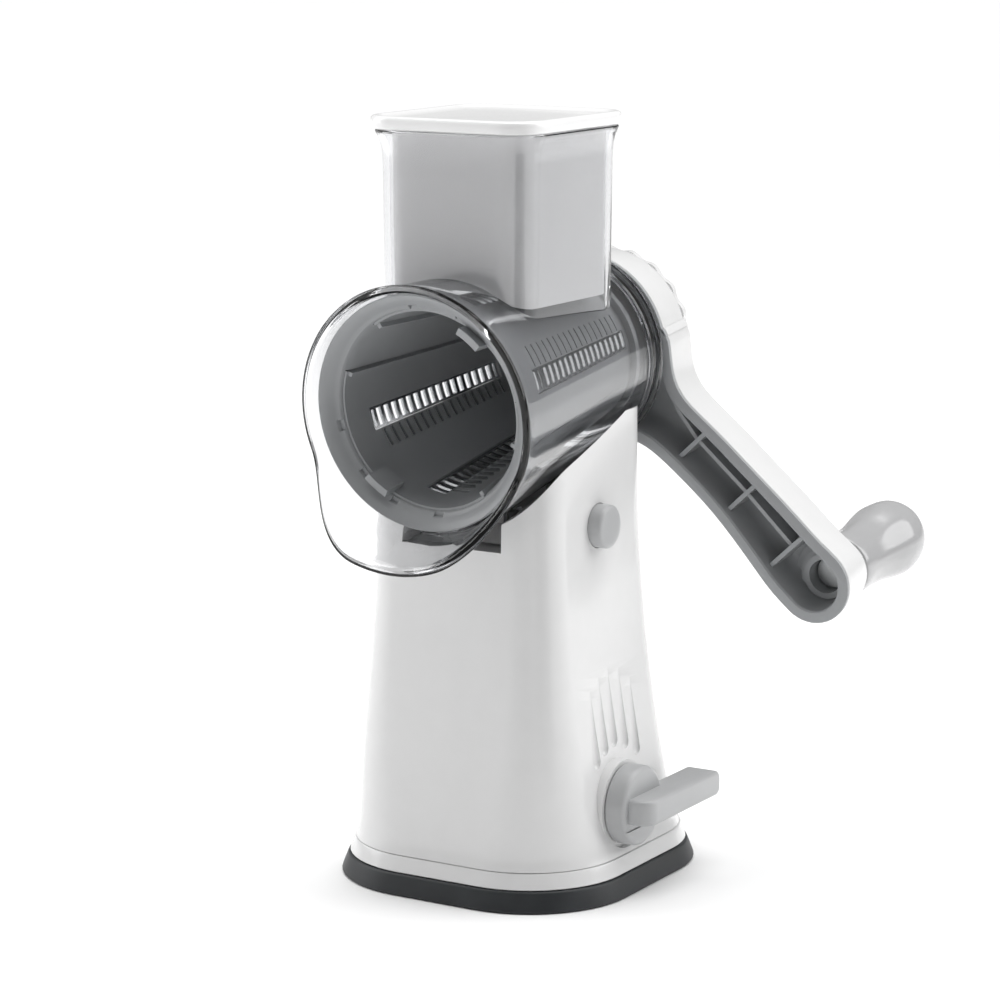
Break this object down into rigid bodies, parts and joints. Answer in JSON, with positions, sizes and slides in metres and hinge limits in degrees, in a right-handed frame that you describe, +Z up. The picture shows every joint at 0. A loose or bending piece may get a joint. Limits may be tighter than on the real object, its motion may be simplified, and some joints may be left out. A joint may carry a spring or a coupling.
{
  "type": "rotary cheese grater",
  "caption": "Hand-cranked rotary grater: suction-base tower, clear housing with hopper and pouring lip, conical drum with snap-in blades, pusher and crank.",
  "frame": {"origin": "centre of the suction pad's flat underside", "axes": "+Z up, -Y towards the outlet, +Y towards the crank, +X towards the suction lever and release button"},
  "size_m": [0.1835, 0.2396, 0.31],
  "materials": {
    "white_plastic": "glossy moulded ABS",
    "clear_plastic": "clear moulded plastic",
    "light_grey_plastic": "satin moulded ABS",
    "grey_plastic": "satin moulded ABS",
    "gloss_grey_plastic": "glossy moulded ABS",
    "black_rubber": "moulded rubber",
    "steel": "stamped stainless steel"
  },
  "bodies": {
    "root": {"suction_pad": "black_rubber", "base_skirt": "white_plastic", "base_plate": "grey_plastic", "base_screw_1": "steel", "base_screw_2": "steel", "base_screw_3": "steel", "base_screw_4": "steel", "tower_shell": "white_plastic", "feed_housing": "clear_plastic", "button_spring": "steel"},
    "rotor": {"drum_frame": "light_grey_plastic", "blade_carrier_a": "light_grey_plastic", "blade_carrier_b": "light_grey_plastic", "blade_strip_a1": "steel", "blade_strip_a2": "steel", "blade_strip_b1": "steel", "blade_strip_b2": "steel", "crank_shell": "white_plastic", "crank_liner": "grey_plastic", "hub_cap": "white_plastic", "grip_axle": "steel"},
    "grip": {"grip": "gloss_grey_plastic"},
    "pusher": {"pusher_body": "white_plastic", "pusher_cap": "white_plastic"},
    "lever": {"suction_lever": "light_grey_plastic", "cam_shaft": "grey_plastic", "cam_clip": "steel"},
    "pad_lift": {"lift_stud": "steel", "lift_yoke": "grey_plastic"},
    "button": {"release_button": "light_grey_plastic", "latch_bar": "grey_plastic"}
  },
  "joints": [
    {"name": "crank_spin", "type": "hinge", "parent": "root", "child": "rotor", "pos_m": [0, -0.0746, 0.1977], "axis": [0, 0.9954, 0.0958], "continuous": true},
    {"name": "grip_spin", "type": "hinge", "parent": "rotor", "child": "grip", "pos_m": [0.10346, 0.0844, 0.11975], "axis": [0, 0.9954, 0.0958], "continuous": true},
    {"name": "pusher_lift", "type": "slide", "parent": "root", "child": "pusher", "axis": [0, 0, 1], "range_m": [0, 0.072]},
    {"name": "suction_lever_turn", "type": "hinge", "parent": "root", "child": "lever", "pos_m": [0.0548, -0.0095, 0.035], "axis": [1, 0, 0], "range_deg": [0, 90]},
    {"name": "pad_lift", "type": "slide", "parent": "root", "child": "pad_lift", "axis": [0, 0, 1], "range_m": [0, 0.0032]},
    {"name": "button_press", "type": "slide", "parent": "root", "child": "button", "axis": [-1, 0, 0], "range_m": [0, 0.004], "stiffness_N_per_m": 400, "deforming": ["button_spring"]}
  ],
  "couplings": [
    {"joint": "suction_lever_turn", "follows": "pad_lift", "rad_per_m": 490}
  ]
}
